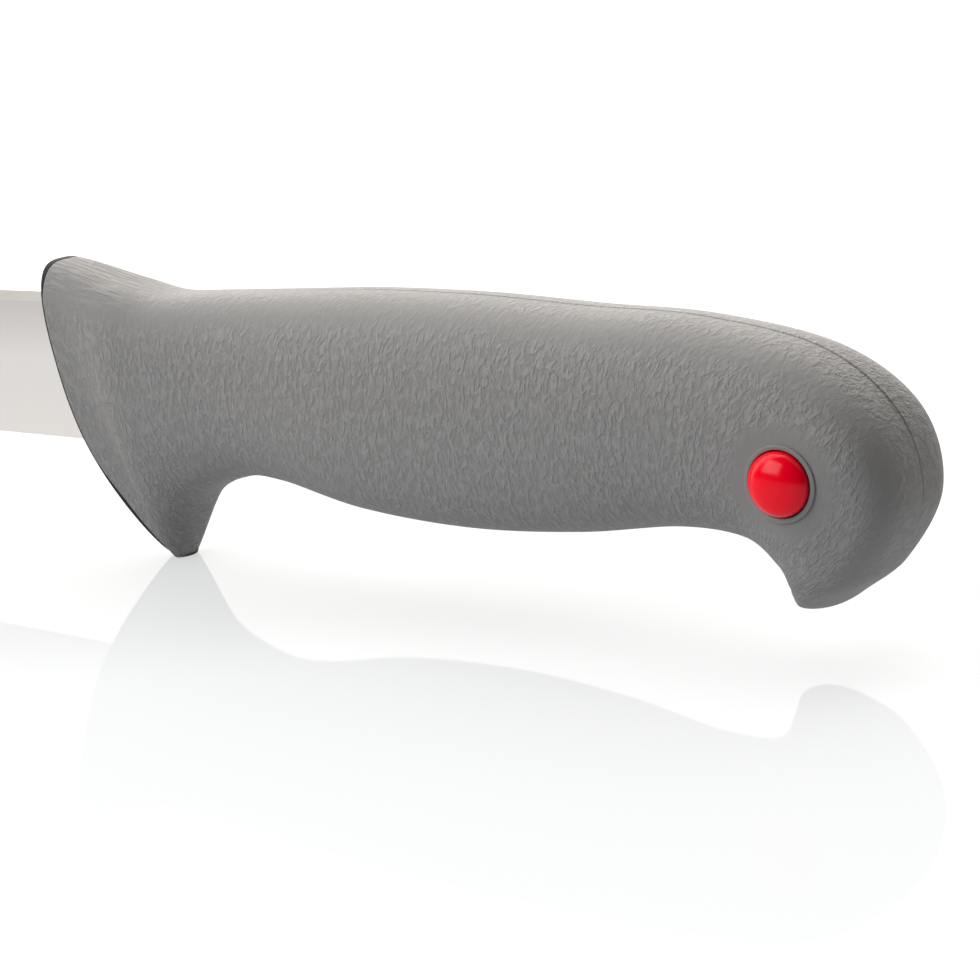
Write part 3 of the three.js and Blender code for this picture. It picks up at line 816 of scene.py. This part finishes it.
# Light: two bright panels in a dark studio, each by direction, cosine of half width, softness and strength
PANELS = (
    ((-0.68, 0.47, 0.57), 0.63, 0.08, 3.2),
    ((0.08, 0.68, 0.73), 0.72, 0.3, 1.65),
)
world = bpy.data.worlds.new("studio")
world.use_nodes = True
nodes, links = world.node_tree.nodes, world.node_tree.links
towards = nodes.new("ShaderNodeTexCoord").outputs["Generated"]
total = None
for direction, reach, soft, level in PANELS:
    facing = nodes.new("ShaderNodeVectorMath")
    facing.operation = "DOT_PRODUCT"
    facing.inputs[1].default_value = direction
    links.new(towards, facing.inputs[0])
    shape = nodes.new("ShaderNodeMapRange")
    shape.interpolation_type = "SMOOTHSTEP"
    for key, value in (("From Min", reach - soft), ("From Max", reach + soft), ("To Max", level)):
        shape.inputs[key].default_value = value
    links.new(facing.outputs["Value"], shape.inputs["Value"])
    if total is None:
        total = shape.outputs[0]
    else:
        both = nodes.new("ShaderNodeMath")
        links.new(total, both.inputs[0])
        links.new(shape.outputs[0], both.inputs[1])
        total = both.outputs[0]
links.new(total, nodes["Background"].inputs["Strength"])
nodes["Background"].inputs["Color"].default_value = (1, 0.965, 0.915, 1)
scene.world = world
AIM = Vector((PLACE + (PLUG_X, -COLLAR_FACE, PLUG_LEVEL)) * MM)


def softbox(name, direction, distance, size, watts):
    lamp = bpy.data.lights.new(name, "AREA")
    lamp.shape = "RECTANGLE"
    lamp.size, lamp.size_y = size
    lamp.energy = watts
    thing = bpy.data.objects.new(name, lamp)
    way = Vector(direction).normalized()
    thing.location = AIM + way * distance
    thing.rotation_euler = (-way).to_track_quat("-Z", "Y").to_euler()
    scene.collection.objects.link(thing)


softbox("front_left", direction=(-0.46, -0.74, 0.53), distance=0.8, size=(0.6, 0.5), watts=5.6)

# Camera
CAMERA_AT = (315.93, -338.2, 104.07)
VIEW_AZIMUTH = 35.36
VIEW_ELEVATION = 13.62
VIEW_ROLL = 2.48
FOCAL_PIXELS = 3200
IMAGE_PIXELS = 980
SENSOR = 36
azimuth, elevation, roll = (math.radians(v) for v in (VIEW_AZIMUTH, VIEW_ELEVATION, VIEW_ROLL))
toward = Vector((
    math.sin(azimuth) * math.cos(elevation),
    -math.cos(azimuth) * math.cos(elevation),
    math.sin(elevation),
))
right = Vector((math.cos(azimuth), math.sin(azimuth), 0))
up = toward.cross(right)
image_right = right * math.cos(roll) - up * math.sin(roll)
image_up = right * math.sin(roll) + up * math.cos(roll)
turn = Matrix.Rotation(PITCH, 3, "Y") @ Matrix((image_right, image_up, toward)).transposed()
lens = bpy.data.cameras.new("camera")
lens.sensor_width = SENSOR
lens.lens = SENSOR * FOCAL_PIXELS / IMAGE_PIXELS
lens.clip_start = 0.01
camera = bpy.data.objects.new("camera", lens)
camera.matrix_world = Matrix.Translation(Vector((PLACE + CAMERA_AT) * MM)) @ turn.to_4x4()
scene.collection.objects.link(camera)
scene.camera = camera
scene.view_settings.view_transform = "Standard"
